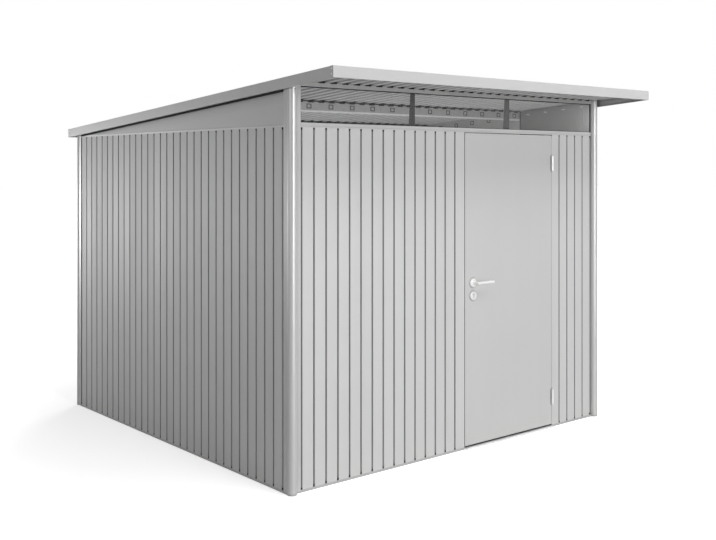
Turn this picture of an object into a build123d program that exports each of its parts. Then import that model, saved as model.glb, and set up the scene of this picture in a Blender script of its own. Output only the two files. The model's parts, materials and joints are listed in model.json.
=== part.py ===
from build123d import *
import math
import os

# Metal storage shed with a mono-pitch roof. Millimetres, X to the right along the front wall,
# Y to the back, Z up, ground at zero. The origin is under the middle of the roof.

# Plan
wallWidth = 2540.0
wallDepth = 2516.0
sideOverhang = 28.0
frontOverhang = 395.0
rearOverhang = 101.0

# Heights
baseLip = 14.0
sheetTop = 1876.0
sideRailHeight = 12.0
sillRailHeight = 25.0
windowBand = 188.0
headerHeight = 24.0
roofSlope = 0.074
fasciaHeight = 57.0
fasciaAboveRoof = 15.5

# Sheet metal
wallSheet = 0.6
roofSheet = 0.6
panelSheet = 0.8
railSheet = 1.0
frameSheet = 1.5

# Grooves of the wall sheets
groovePitch = 80.0
grooveTop = 16.0
grooveFloor = 4.4
grooveDepth = 9.0
shoulderRadius = 3.0
shoulderAngle = 67.0
shoulderSteps = 3
frontLeftMargin = 79.0
frontRightMargin = 63.5
backMargin = 70.0
sideMargin = 60.5
tabReach = 24.0

# Corner posts: the bead's centre is behind the wall planes by these two distances
beadRadius = 24.5
beadAcross = 19.5
beadBehind = 2.0
flangeGap = 6.0
sideFlangeGap = 10.0
narrowFlangeGap = 15.0

# Base and top rails
baseUpstand = 40.0
railReach = 40.0
railLip = 12.0
sillLipHeight = 6.0
sillLipStep = 1.5

# Door
doorStart = 1279.0
doorWidth = 800.0
doorGap = 5.0
leafDepth = 32.0
leafFoot = 16.5
sillTop = 10.5
sillNose = 20.0
sillStop = 6.0
sillEdge = 3.0
jambFlange = 40.0
jambStop = 12.0
jambDepth = 50.0

# Hinges
hingeRadius = 6.5
hingeReach = 8.0
hingePin = 3.5
hingeLength = 96.0
hingePlate = 1.8
hingePlateDepth = 24.0
hingeFromFoot = 130.5
hingeFromTop = 131.0
knuckleGap = 0.6
pinFit = 0.05

# Lever and lock
leverAcross = 67.0
leverLevel = 982.0
leverLength = 135.0
leverStandoff = 46.0
leverBar = 9.0
leverRound = 3.0
roseRadius = 26.0
roseDepth = 8.0
roseRound = 2.5
spindleSide = 8.0
spindlePlay = 2.5
neckFit = 0.08
cylinderLevel = 904.0
cylinderRadius = 8.5
cylinderHeight = 33.0
cylinderStem = 10.0
cylinderProud = 3.0
cylinderPlay = 0.1
keySlotWidth = 2.4
keySlotHeight = 8.0
keySlotDepth = 6.0
boreRadius = 15.0
lockPlateWidth = 20.0
lockPlateHeight = 200.0
lockPlateDepth = 2.0
lockCaseWidth = 16.0
lockCaseReach = 24.0
lockCaseMargin = 15.0
strikeMargin = 20.0
strikeSheet = 1.8

# Window band
paneThickness = 3.0
paneSetback = 8.0
bayCount = 3
finThickness = 2.0
finFootDepth = 50.0
finHeadDepth = 37.0
finShift = 6.0
finTab = 14.0

# Roof frame
purlinHeight = 68.0
purlinDepth = 40.0
purlinPlaces = (620.0, 1570.0)
gableInset = 1.0
gableFold = 10.0
innerGableDepth = 41.0
holePitch = 166.7
holeMargin = 95.0
holeWidth = 28.0
holeHeight = 22.0
holeDrop = 34.0

# Roof sheet, covers and gutter
ribPitch = 80.0
ribBase = 44.0
ribCrest = 28.0
ribHeight = 13.0
ribFirst = 48.0
coverTop = 20.0
coverFoot = 14.0
coverReturn = 22.0
sheetEndGap = 1.5
gutterWidth = 70.0
gutterUpstand = 25.0
gutterGap = 20.0
outletRadius = 25.0
outletLength = 45.0
outletFromWall = 150.0

roofHalf = wallWidth / 2 + sideOverhang
roofLength = frontOverhang + wallDepth + rearOverhang
xLeft = -wallWidth / 2
xRight = wallWidth / 2
yRoofFront = -roofLength / 2
yRoofBack = roofLength / 2
yFront = yRoofFront + frontOverhang
yBack = yFront + wallDepth
railDepth = grooveDepth + wallSheet
sideRailTop = sheetTop + sideRailHeight
sillRailTop = sheetTop + sillRailHeight
headerFoot = sillRailTop + windowBand
roofLowAtFront = headerFoot + headerHeight
leftFlange = frontLeftMargin - flangeGap
rightFlange = frontRightMargin - narrowFlangeGap
backFlange = backMargin - flangeGap
sideFlange = sideMargin - sideFlangeGap
openingLeft = doorStart - doorGap / 2
openingRight = doorStart + doorWidth + doorGap / 2
leafLeft = openingLeft + doorGap
leafRight = openingRight - doorGap
leafTop = sheetTop - doorGap

sides = {
    "front": ((xLeft, yFront), (1, 0), (0, 1)),
    "back": ((xLeft, yBack), (1, 0), (0, -1)),
    "left": ((xLeft, yFront), (0, 1), (1, 0)),
    "right": ((xRight, yFront), (0, 1), (-1, 0)),
}

parts = {}


def group(*solids):
    return Compound(children=list(solids))


def roofLow(y):
    return roofLowAtFront - roofSlope * (y - yFront)


def place(side, along, depth, z):
    origin, run, inward = sides[side]
    x = origin[0] + along * run[0] + depth * inward[0]
    y = origin[1] + along * run[1] + depth * inward[1]
    return Vector(x, y, z)


def prism(points, direction):
    outline = Wire.make_polygon(points, close=True)
    return Solid.extrude(Face(outline), direction)


def upright(side, outline, low, high):
    points = [place(side, along, depth, low) for along, depth in outline]
    return prism(points, Vector(0, 0, high - low))


def runner(side, outline, start, end):
    points = [place(side, start, depth, z) for depth, z in outline]
    return prism(points, place(side, end, 0, 0) - place(side, start, 0, 0))


def block(side, start, end, nearDepth, farDepth, low, high):
    outline = [(start, nearDepth), (end, nearDepth), (end, farDepth), (start, farDepth)]
    return upright(side, outline, low, high)


def strip(points, thickness):
    # The closed outline of a folded sheet whose one face follows the points. The other face lies
    # to the left of the path, with mitred corners.
    shifted = []
    count = len(points)
    for index in range(count):
        before = points[max(index - 1, 0)]
        here = points[index]
        after = points[min(index + 1, count - 1)]
        normals = []
        for first, second in ((before, here), (here, after)):
            runX = second[0] - first[0]
            runY = second[1] - first[1]
            length = math.hypot(runX, runY)
            if length > 0:
                normals.append((-runY / length, runX / length))
        sumX = sum(normal[0] for normal in normals) / len(normals)
        sumY = sum(normal[1] for normal in normals) / len(normals)
        square = sumX * sumX + sumY * sumY
        shifted.append((here[0] + thickness * sumX / square, here[1] + thickness * sumY / square))
    return list(points) + shifted[::-1]


def underRoof():
    # The space below the low side of the roof sheet, which trims what reaches up to it.
    points = [
        Vector(-roofHalf, yRoofFront, 0),
        Vector(-roofHalf, yRoofFront, roofLow(yRoofFront)),
        Vector(-roofHalf, yRoofBack, roofLow(yRoofBack)),
        Vector(-roofHalf, yRoofBack, 0),
    ]
    return prism(points, Vector(2 * roofHalf, 0, 0))


def grooveCentres(first, last):
    # Even grooves from the first to the last, as near to the wanted pitch as they fit.
    count = round((last - first) / groovePitch)
    return [first + (last - first) * number / count for number in range(count + 1)]


def grooveSide(centre, sign):
    # From the wall plane over a rounded shoulder and down a steep flank to the groove's floor.
    points = []
    for step in range(shoulderSteps + 1):
        angle = math.radians(shoulderAngle) * step / shoulderSteps
        across = grooveTop / 2 - shoulderRadius * math.sin(angle)
        points.append((centre + sign * across, shoulderRadius * (1 - math.cos(angle))))
    points.append((centre + sign * grooveFloor / 2, grooveDepth))
    return points


def groove(centre):
    return grooveSide(centre, -1) + grooveSide(centre, 1)[::-1]


def tabStart(centre):
    # The end of a sheet behind a post's return: a groove with its outer side left off.
    return [(centre - tabReach, grooveDepth)] + grooveSide(centre, 1)[::-1]


def tabEnd(centre):
    return grooveSide(centre, -1) + [(centre + tabReach, grooveDepth)]


def wallSheetAlong(side, path):
    return upright(side, strip(path, wallSheet), baseLip, sheetTop)


def fullWall(side, first, last):
    centres = grooveCentres(first, last)
    path = tabStart(centres[0])
    for centre in centres[1:-1]:
        path += groove(centre)
    path += tabEnd(centres[-1])
    return wallSheetAlong(side, path)


def cornerPost(frontFlange, sideFlange):
    # One corner post at the front left corner: a round bead over the corner, two flanges in the
    # wall planes and a return at the end of each that meets the tab of the wall sheet.
    outer = beadRadius
    inner = beadRadius - frameSheet
    beads = []
    for radius, plane in ((outer, 0.0), (inner, frameSheet)):
        reachX = math.sqrt(radius ** 2 - (beadBehind - plane) ** 2)
        reachY = math.sqrt(radius ** 2 - (beadAcross - plane) ** 2)
        beads.append((beadAcross + reachX, beadBehind + reachY, radius, plane))
    edges = []
    for endX, endY, radius, plane in beads:
        middle = (beadAcross - radius * math.sqrt(0.5), beadBehind - radius * math.sqrt(0.5))
        edges.append(ThreePointArc((endX, plane), middle, (plane, endY)))
    outerX, outerY = beads[0][0], beads[0][1]
    innerX, innerY = beads[1][0], beads[1][1]
    edges.append(Polyline(
        (outerX, 0),
        (frontFlange, 0),
        (frontFlange, grooveDepth),
        (frontFlange - frameSheet, grooveDepth),
        (frontFlange - frameSheet, frameSheet),
        (innerX, frameSheet),
    ))
    edges.append(Polyline(
        (0, outerY),
        (0, sideFlange),
        (grooveDepth, sideFlange),
        (grooveDepth, sideFlange - frameSheet),
        (frameSheet, sideFlange - frameSheet),
        (frameSheet, innerY),
    ))
    return extrude(make_face(edges), amount=roofLow(yRoofFront), dir=(0, 0, 1))


def addPost(name, frontFlange, sideFlange, right, back):
    post = cornerPost(frontFlange, sideFlange)
    if right:
        post = mirror(post, about=Plane.YZ)
    if back:
        post = mirror(post, about=Plane.XZ)
    post = Pos(xRight if right else xLeft, yBack if back else yFront, 0) * post
    parts[name] = post & underRoof()


addPost("post_front_left", leftFlange, sideFlange, False, False)
addPost("post_front_right", rightFlange, sideFlange, True, False)
addPost("post_back_left", backFlange, sideFlange, False, True)
addPost("post_back_right", backFlange, sideFlange, True, True)

# Wall sheets: the front one is split by the door opening
parts["wall_left"] = fullWall("left", sideMargin, wallDepth - sideMargin)
parts["wall_right"] = fullWall("right", sideMargin, wallDepth - sideMargin)
parts["wall_back"] = fullWall("back", backMargin, wallWidth - backMargin)

frontCentres = grooveCentres(frontLeftMargin, wallWidth - frontRightMargin)
path = tabStart(frontCentres[0])
for centre in frontCentres[1:]:
    if centre + grooveTop < openingLeft:
        path += groove(centre)
path += [(openingLeft, 0), (openingLeft, railDepth)]
parts["wall_front_left"] = wallSheetAlong("front", path)

path = [(openingRight, railDepth), (openingRight, 0)]
for centre in frontCentres[:-1]:
    if centre - grooveTop > openingRight:
        path += groove(centre)
path += tabEnd(frontCentres[-1])
parts["wall_front_right"] = wallSheetAlong("front", path)

# Door jambs with their stops
jambLeft = [
    (openingLeft - jambFlange, railDepth),
    (openingLeft, railDepth),
    (openingLeft, leafDepth + doorGap),
    (openingLeft + jambStop, leafDepth + doorGap),
    (openingLeft + jambStop, jambDepth),
]
jambRight = [
    (openingRight + jambFlange, railDepth),
    (openingRight, railDepth),
    (openingRight, leafDepth + doorGap),
    (openingRight - jambStop, leafDepth + doorGap),
    (openingRight - jambStop, jambDepth),
]
parts["door_jambs"] = group(
    upright("front", strip(jambLeft, frameSheet), frameSheet, sheetTop),
    upright("front", strip(jambRight, -frameSheet), frameSheet, sheetTop),
)

# Base rails: a lip in the wall plane that the sheet stands on and an upstand behind the grooves
basePath = strip([(railReach, 0), (0, 0), (0, baseLip), (railDepth, baseLip)], -frameSheet)


def baseRail(side, start, end, upstandStart, upstandEnd):
    rail = runner(side, basePath, start, end)
    low = baseLip - frameSheet
    far = railDepth + frameSheet
    return rail + block(side, upstandStart, upstandEnd, railDepth, far, low, baseUpstand)


def plainBaseRail(side, start, end):
    return baseRail(side, start, end, start, end)


parts["base_rails_side"] = group(
    plainBaseRail("left", sideFlange, wallDepth - sideFlange),
    plainBaseRail("right", sideFlange, wallDepth - sideFlange),
)
parts["base_rail_back"] = plainBaseRail("back", backFlange, wallWidth - backFlange)
frontEnd = wallWidth - rightFlange
parts["base_rails_front"] = group(
    baseRail("front", leftFlange, openingLeft, leftFlange, openingLeft - jambFlange),
    baseRail("front", openingRight, frontEnd, openingRight + jambFlange, frontEnd),
)

# Door sill: its nose is as wide as the leaf, its back runs between the stops
stopNear = leafDepth + doorGap
nosePath = strip([
    (-sillNose, 0),
    (-sillNose, sillTop - sillEdge),
    (-sillNose + sillEdge, sillTop),
    (stopNear, sillTop),
    (stopNear, sillTop + sillStop),
    (jambDepth, sillTop + sillStop),
    (jambDepth, 0),
], -frameSheet)
sill = runner("front", nosePath, leafLeft, leafRight)
sillFar = jambDepth + doorGap
sillHigh = sillTop + 2 * sillStop
for start, end in ((leafLeft, openingLeft + jambStop), (openingRight - jambStop, leafRight)):
    sill = sill - block("front", start, end, stopNear, sillFar, -doorGap, sillHigh)
parts["door_sill"] = sill

# Top rails, sill rail and headers
topPath = [(railReach, sheetTop), (0, sheetTop), (0, sideRailTop), (railReach, sideRailTop)]
topRail = strip(topPath, -railSheet)
parts["top_rails_side"] = group(
    runner("left", topRail, sideFlange, wallDepth - sideFlange),
    runner("right", topRail, sideFlange, wallDepth - sideFlange),
)
parts["top_rail_back"] = runner("back", topRail, backFlange, wallWidth - backFlange)

sillRail = strip([
    (railReach, sheetTop),
    (0, sheetTop),
    (0, sheetTop + sillLipHeight),
    (sillLipStep, sheetTop + sillLipHeight + sillLipStep),
    (sillLipStep, sillRailTop),
    (railReach, sillRailTop),
], -railSheet)
parts["window_sill_rail"] = runner("front", sillRail, leftFlange, frontEnd)

header = strip([
    (railReach, headerFoot + railLip),
    (railReach, headerFoot),
    (0, headerFoot),
    (0, roofLowAtFront),
    (railReach, roofLow(yFront + railReach)),
], -railSheet)
parts["header_front"] = runner("front", header, leftFlange, frontEnd)

backHeader = strip([
    (railReach, sideRailTop),
    (0, sideRailTop),
    (0, roofLow(yBack)),
    (railReach, roofLow(yBack - railReach)),
], -railSheet)
parts["header_back"] = runner("back", backHeader, backFlange, wallWidth - backFlange)

# Window pane and the fins behind it
paneBack = paneSetback + paneThickness
parts["window_pane"] = block(
    "front", leftFlange, frontEnd, paneSetback, paneBack, sillRailTop, headerFoot,
)
fins = []
paneSpan = frontCentres[-1] - frontCentres[0]
for bay in range(1, bayCount):
    along = frontCentres[0] + paneSpan * bay / bayCount + finShift
    fin = runner("front", [
        (paneBack, sillRailTop),
        (paneBack + finFootDepth, sillRailTop),
        (paneBack + finHeadDepth, headerFoot - finThickness),
        (paneBack + finTab, headerFoot - finThickness),
        (paneBack + finTab, headerFoot),
        (paneBack, headerFoot),
    ], along, along + finThickness)
    end = along + finTab
    footTop = sillRailTop + finThickness
    headFoot = headerFoot - finThickness
    foot = block("front", along, end, paneBack, railReach, sillRailTop, footTop)
    head = block("front", along, end, paneBack, paneBack + finTab, headFoot, headerFoot)
    fins.append(fin + foot + head)
parts["window_fins"] = group(*fins)


# Gables: an outer flat panel and an inner one with a row of holes under the roof
def gable(side, near, start, end, thickness):
    far = near + thickness
    panel = block(side, start, end, near, far, sideRailTop, roofLowAtFront)
    fold = block(side, start, end, near, far + gableFold, sideRailTop, sideRailTop + thickness)
    return (panel + fold) & underRoof()


def holeCentres(length):
    count = int((length - 2 * holeMargin) / holePitch) + 1
    return [holeMargin + number * holePitch for number in range(count)]


def hole(side, along, depth, level):
    half = holeWidth / 2
    near = depth - holeHeight
    far = depth + holeHeight
    low = level - holeHeight / 2
    return block(side, along - half, along + half, near, far, low, low + holeHeight)


for side in ("left", "right"):
    parts[f"gable_{side}"] = gable(side, gableInset, sideFlange, wallDepth - sideFlange, panelSheet)
    inner = gable(side, innerGableDepth, railReach, wallDepth - railReach, railSheet)
    for along in holeCentres(wallDepth):
        level = roofLow(yFront + along) - holeDrop
        if level - holeHeight > sideRailTop:
            inner = inner - hole(side, along, innerGableDepth, level)
    parts[f"gable_inner_{side}"] = inner

# Purlins: channels open to the back, with a row of holes in the web
purlinReach = innerGableDepth + railSheet
for name, near in zip(("front", "rear"), purlinPlaces):
    far = near + purlinDepth
    top = roofLow(yFront + near)
    farTop = roofLow(yFront + far)
    foot = top - purlinHeight
    section = strip([
        (far, farTop - railLip),
        (far, farTop),
        (near, top),
        (near, foot),
        (far, foot),
        (far, foot + railLip),
    ], railSheet)
    purlin = runner("front", section, purlinReach, wallWidth - purlinReach)
    for along in holeCentres(wallWidth):
        purlin = purlin - hole("front", along, near, top - holeDrop)
    parts[f"purlin_{name}"] = purlin

# Roof sheet with ribs from front to back, its edges turned up inside the side covers
sheetHalf = roofHalf - 2 * panelSheet
ribPath = [(-sheetHalf, ribHeight), (-sheetHalf, 0)]
centre = xLeft + ribFirst
while centre + ribBase / 2 + sheetEndGap < sheetHalf:
    ribPath.append((centre - ribBase / 2, 0))
    ribPath.append((centre - ribCrest / 2, ribHeight))
    ribPath.append((centre + ribCrest / 2, ribHeight))
    ribPath.append((centre + ribBase / 2, 0))
    centre += ribPitch
ribPath += [(sheetHalf, 0), (sheetHalf, ribHeight)]
sheetStart = yRoofFront + sheetEndGap
run = yRoofBack - gutterGap - sheetStart
points = [Vector(x, sheetStart, roofLow(sheetStart) + z) for x, z in strip(ribPath, roofSheet)]
parts["roof_sheet"] = prism(points, Vector(0, run, -roofSlope * run))


def coverTopAt(y):
    return roofLow(y) + fasciaAboveRoof


def endCover(y, inward, footPath):
    # The cover along the front or the back edge of the roof, with a return round each corner.
    top = coverTopAt(y)
    foot = top - fasciaHeight
    middle = (top + foot) / 2
    topEdge = y + inward * coverTop
    path = footPath + [(y, foot), (y, top), (topEdge, coverTopAt(topEdge))]
    points = [Vector(-sheetHalf, depth, z) for depth, z in strip(path, -inward * panelSheet)]
    cover = prism(points, Vector(2 * sheetHalf, 0, 0))
    cover = cover + Pos(0, y + inward * panelSheet / 2, middle) * Box(2 * roofHalf, panelSheet, fasciaHeight)
    for sign in (-1, 1):
        corner = Pos(sign * (roofHalf - panelSheet / 2), y + inward * coverReturn / 2, middle)
        cover = cover + corner * Box(panelSheet, coverReturn, fasciaHeight)
    return cover


frontFoot = coverTopAt(yRoofFront) - fasciaHeight
parts["fascia_front"] = endCover(yRoofFront, 1, [(yRoofFront + coverFoot, frontFoot)])

# The back cover is also the gutter, with an outlet under its floor at the right
backFoot = coverTopAt(yRoofBack) - fasciaHeight
gutterInner = yRoofBack - gutterWidth
gutter = endCover(yRoofBack, -1, [(gutterInner, backFoot + gutterUpstand), (gutterInner, backFoot)])
outletCentre = Pos(xRight - outletFromWall, yRoofBack - gutterWidth / 2, backFoot)
onTop = (Align.CENTER, Align.CENTER, Align.MAX)
gutter = gutter + outletCentre * Cylinder(outletRadius, outletLength, align=onTop)
gutter = gutter - outletCentre * Cylinder(outletRadius - frameSheet, 2 * outletLength + gutterUpstand)
parts["gutter_back"] = gutter


def sideFascia(sign):
    face = sign * (roofHalf - panelSheet)
    path = [
        (face - sign * coverFoot, -fasciaHeight),
        (face, -fasciaHeight),
        (face, 0),
        (face - sign * coverTop, 0),
    ]
    start = yRoofFront + panelSheet
    length = roofLength - 2 * panelSheet
    points = [Vector(x, start, coverTopAt(start) + z) for x, z in strip(path, sign * panelSheet)]
    cover = prism(points, Vector(0, length, -roofSlope * length))
    cuts = ((yRoofFront, yRoofFront + coverTop), (yRoofBack - gutterWidth, yRoofBack))
    for near, far in cuts:
        middle = Pos(0, (near + far) / 2, coverTopAt(near))
        cover = cover - middle * Box(2 * sheetHalf, far - near, 4 * fasciaHeight)
    return cover


parts["fascia_left"] = sideFascia(-1)
parts["fascia_right"] = sideFascia(1)

# Door leaf: a tray closed at the back by its liner
skin = panelSheet
tray = block("front", leafLeft, leafRight, 0, leafDepth - skin, leafFoot, leafTop)
tray = tray - block(
    "front", leafLeft + skin, leafRight - skin, skin, leafDepth, leafFoot + skin, leafTop - skin,
)
liner = block("front", leafLeft, leafRight, leafDepth - skin, leafDepth, leafFoot, leafTop)
hingeAlong = (openingRight + leafRight) / 2
leverAlong = leafLeft + leverAcross
standing = (Align.CENTER, Align.CENTER, Align.MIN)


def boreAt(radius, level, near, far):
    base = place("front", leverAlong, near, level)
    return Pos(base.X, base.Y, base.Z) * Rot(-90, 0, 0) * Cylinder(radius, far - near, align=standing)


def keyProfile(play, near, far):
    # The round head and the narrow stem of a lock cylinder, with play all round.
    head = cylinderLevel + cylinderHeight / 2 - cylinderRadius
    tail = cylinderLevel - cylinderHeight / 2 + cylinderStem / 2
    half = cylinderStem / 2 + play
    profile = boreAt(cylinderRadius + play, head, near, far) + boreAt(half, tail, near, far)
    return profile + block("front", leverAlong - half, leverAlong + half, near, far, tail, head)


tray = tray - boreAt(boreRadius, leverLevel, -skin, 2 * skin)
tray = tray - keyProfile(skin, -skin, 2 * skin)
backNear = leafDepth - 2 * skin
backFar = leafDepth + skin
liner = liner - boreAt(boreRadius, leverLevel, backNear, backFar)
liner = liner - keyProfile(skin, backNear, backFar)

lockMiddle = (leverLevel + cylinderLevel) / 2
lockLow = lockMiddle - lockPlateHeight / 2
lockHigh = lockMiddle + lockPlateHeight / 2
plateNear = (leafDepth - lockPlateWidth) / 2
plateFar = (leafDepth + lockPlateWidth) / 2
tray = tray - block("front", leafLeft - skin, leafLeft + 2 * skin, plateNear, plateFar, lockLow, lockHigh)
parts["door_leaf"] = tray
parts["door_liner"] = liner

# Lock case with its face plate flush in the edge of the leaf, and the strike plate on the jamb
caseNear = (leafDepth - lockCaseWidth) / 2
caseFar = (leafDepth + lockCaseWidth) / 2
lockCase = block("front", leafLeft, leafLeft + lockPlateDepth, plateNear, plateFar, lockLow, lockHigh)
lockCase = lockCase + block(
    "front", leafLeft + lockPlateDepth, leverAlong + lockCaseReach, caseNear, caseFar,
    lockLow + lockCaseMargin, lockHigh - lockCaseMargin,
)
lockCase = lockCase - boreAt(spindleSide / 2 + spindlePlay, leverLevel, caseNear - skin, caseFar + skin)
lockCase = lockCase - keyProfile(cylinderPlay, caseNear - skin, caseFar + skin)
parts["lock_case"] = lockCase
parts["strike_plate"] = block(
    "front", openingLeft, openingLeft + strikeSheet, plateNear, plateFar,
    lockLow + strikeMargin, lockHigh - strikeMargin,
)

# Roses, levers and lock cylinder
for name, face, sign in (("outer", 0.0, -1), ("inner", leafDepth, 1)):
    near, far = sorted((face, face + sign * roseDepth))
    discs = []
    for level in (leverLevel, cylinderLevel):
        disc = boreAt(roseRadius, level, near, far)
        rim = disc.edges().filter_by(GeomType.CIRCLE).sort_by(Axis.Y)
        disc = fillet(rim[0] if sign < 0 else rim[-1], roseRound)
        discs.append(disc)
    discs[0] = discs[0] - boreAt(leverBar + neckFit, leverLevel, near - skin, far + skin)
    discs[1] = discs[1] - keyProfile(cylinderPlay, near - skin, far + skin)
    parts[f"door_roses_{name}"] = group(*discs)
    start = face + sign * neckFit
    elbow = face + sign * leverStandoff
    neckNear, neckFar = sorted((start, elbow))
    neck = boreAt(leverBar, leverLevel, neckNear, neckFar)
    base = place("front", leverAlong, elbow, leverLevel)
    grip = Cylinder(leverBar, leverLength, align=standing)
    grip = fillet(grip.edges().filter_by(GeomType.CIRCLE).sort_by(Axis.Z)[-1], leverRound)
    corner = Pos(base.X, base.Y, base.Z)
    parts[f"lever_{name}"] = neck + corner * Sphere(leverBar) + corner * Rot(0, 90, 0) * grip

half = spindleSide / 2
parts["lever_spindle"] = block(
    "front", leverAlong - half, leverAlong + half, -neckFit, leafDepth + neckFit,
    leverLevel - half, leverLevel + half,
)
reach = roseDepth + cylinderProud
keyLevel = cylinderLevel + cylinderHeight / 2 - cylinderRadius
slot = block(
    "front", leverAlong - keySlotWidth / 2, leverAlong + keySlotWidth / 2,
    -reach - skin, -reach + keySlotDepth,
    keyLevel - keySlotHeight / 2, keyLevel + keySlotHeight / 2,
)
parts["lock_cylinder"] = keyProfile(0, -reach, leafDepth + reach) - slot

# Hinges: the frame side carries the two end knuckles, the door side the middle one
axis = place("front", hingeAlong, -hingeReach, 0)
third = hingeLength / 3
hingeLow = leafFoot + hingeFromFoot
hingeHigh = leafTop - hingeFromTop - hingeLength
frameSides = []
doorSides = []
pins = []


def barrel(radius, low, high):
    return Pos(axis.X, axis.Y, low) * Cylinder(radius, high - low, align=standing)


for level in (hingeLow, hingeHigh):
    top = level + hingeLength
    knuckleLow = level + third
    knuckleHigh = top - third
    pinHole = barrel(hingePin + pinFit, level - hingePin, top + hingePin)
    plateStart = openingRight - hingePlate
    frameSide = block("front", plateStart, openingRight, -hingeReach, hingePlateDepth, level, top)
    frameSide = frameSide - block(
        "front", plateStart - hingePlate, openingRight + hingePlate, -hingeReach - hingePlate, 0,
        knuckleLow, knuckleHigh,
    )
    frameSide = frameSide + barrel(hingeRadius, level, knuckleLow) + barrel(hingeRadius, knuckleHigh, top)
    frameSides.append(frameSide - pinHole)
    knuckleLow += knuckleGap
    knuckleHigh -= knuckleGap
    plateEnd = leafRight + hingePlate
    doorSide = block("front", leafRight, plateEnd, 0, hingePlateDepth, level, top)
    doorSide = doorSide + block("front", leafRight, plateEnd, -hingeReach, 0, knuckleLow, knuckleHigh)
    doorSide = doorSide + barrel(hingeRadius, knuckleLow, knuckleHigh)
    doorSides.append(doorSide - pinHole)
    pins.append(barrel(hingePin, level, top))
parts["hinge_frame_sides"] = group(*frameSides)
parts["hinge_door_sides"] = group(*doorSides)
parts["hinge_pins"] = group(*pins)

os.makedirs("parts", exist_ok=True)
for name, solid in parts.items():
    export_step(solid, f"parts/{name}.step")
print(len(parts), "parts")
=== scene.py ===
import json
import math

import bmesh
import bpy
from mathutils import Matrix, Vector


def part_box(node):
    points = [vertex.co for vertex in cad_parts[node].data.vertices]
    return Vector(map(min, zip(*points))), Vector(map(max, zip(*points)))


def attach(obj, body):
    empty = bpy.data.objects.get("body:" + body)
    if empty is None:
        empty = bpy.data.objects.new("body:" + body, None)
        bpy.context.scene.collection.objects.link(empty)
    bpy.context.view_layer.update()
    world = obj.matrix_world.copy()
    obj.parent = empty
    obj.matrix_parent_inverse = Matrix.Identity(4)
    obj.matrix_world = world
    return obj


print("stage: frame")
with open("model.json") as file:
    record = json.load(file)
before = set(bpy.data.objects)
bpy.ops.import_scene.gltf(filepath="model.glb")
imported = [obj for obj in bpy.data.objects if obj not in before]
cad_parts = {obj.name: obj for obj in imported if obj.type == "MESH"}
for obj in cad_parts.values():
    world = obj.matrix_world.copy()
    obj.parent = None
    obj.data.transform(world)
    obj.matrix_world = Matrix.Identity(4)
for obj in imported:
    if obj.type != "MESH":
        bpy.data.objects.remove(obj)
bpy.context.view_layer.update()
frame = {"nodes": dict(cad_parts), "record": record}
nodes = frame["nodes"]

view = {
    "place": (-4.2531, -5.2127, 1.682),
    "tiltDeg": 90.0,
    "turnDeg": -39.98,
    "lens": 50.04,
    "sensor": 36.0,
    "shiftDown": 0.1466,
    "far": 200.0,
}
studio = {
    "backdrop": 1.0,
    "mirrored": 0.4,
    "fill": 0.12,
    "cards": (((-1.0, 0.02, 0.1), 14.0, 1.2), ((0.85, -0.53, 0.05), 20.0, 1.3)),
    "floorColour": (0.84, 0.84, 0.84),
    "floorLift": 0.58,
    "floorMirror": 0.08,
    "floorFade": (1.7, 3.6),
    "floorSize": 60.0,
    "floorRough": 0.9,
    "floorSpecular": 0.1,
}
lamps = {
    "frontLamp": {
        "place": (-0.6, -12.0, 2.4), "aim": (0.1, -1.0, 0.6), "size": (5.0, 5.2), "power": 660.0,
    },
    "topLamp": {
        "place": (0.0, -6.0, 9.0), "aim": (0.0, -1.1, 1.0), "size": (5.0, 3.0), "power": 390.0,
    },
    "sideLamp": {
        "place": (-11.0, -2.4, 2.0), "aim": (-1.3, 0.3, 1.0), "size": (2.4, 3.6), "power": 58.0,
    },
    "rearLamp": {
        "place": (-5.5, 11.0, 0.9), "aim": (-1.3, 1.0, 0.8), "size": (4.6, 1.7), "power": 190.0,
    },
    "backLamp": {
        "place": (9.0, 9.0, 3.6), "aim": (0.6, 0.6, 1.0), "size": (5.0, 4.0), "power": 850.0,
    },
    "insideLamp": {
        "place": (-0.3, -0.2, 0.5), "aim": (-0.2, 0.0, 2.1), "size": (1.2, 1.0), "power": 17.0,
    },
}
# Each look below darkens its colour where the surface is closed in, as painted shade: in the wall
# and door grooves, beside the posts' beads, in the roof's rib channels and under the side covers on
# the gables.
wallLook = {
    "colour": 0.585, "rough": 0.48, "metal": 0.15, "grain": 0.03, "streak": 0.04,
    "bend": 0.001, "foldShade": 0.7, "reach": 0.012,
}
doorLook = {
    "colour": 0.55, "rough": 0.47, "metal": 0.15, "grain": 0.035, "streak": 0.04,
    "bend": 0.0008, "foldShade": 0.75, "reach": 0.012,
}
trimLook = {
    "colour": 0.55, "rough": 0.34, "metal": 0.32, "grain": 0.03, "streak": 0.03,
    "bend": 0.0012, "foldShade": 0.45, "reach": 0.016,
}
# The gables' copy of the wall paint is darker and reaches wide, which paints the shade under the
# side covers into it.
gableLook = {
    "colour": 0.55, "rough": 0.42, "metal": 0.15, "grain": 0.03, "streak": 0.03,
    "bend": 0.001, "foldShade": 0.75, "reach": 0.07,
}
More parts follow.
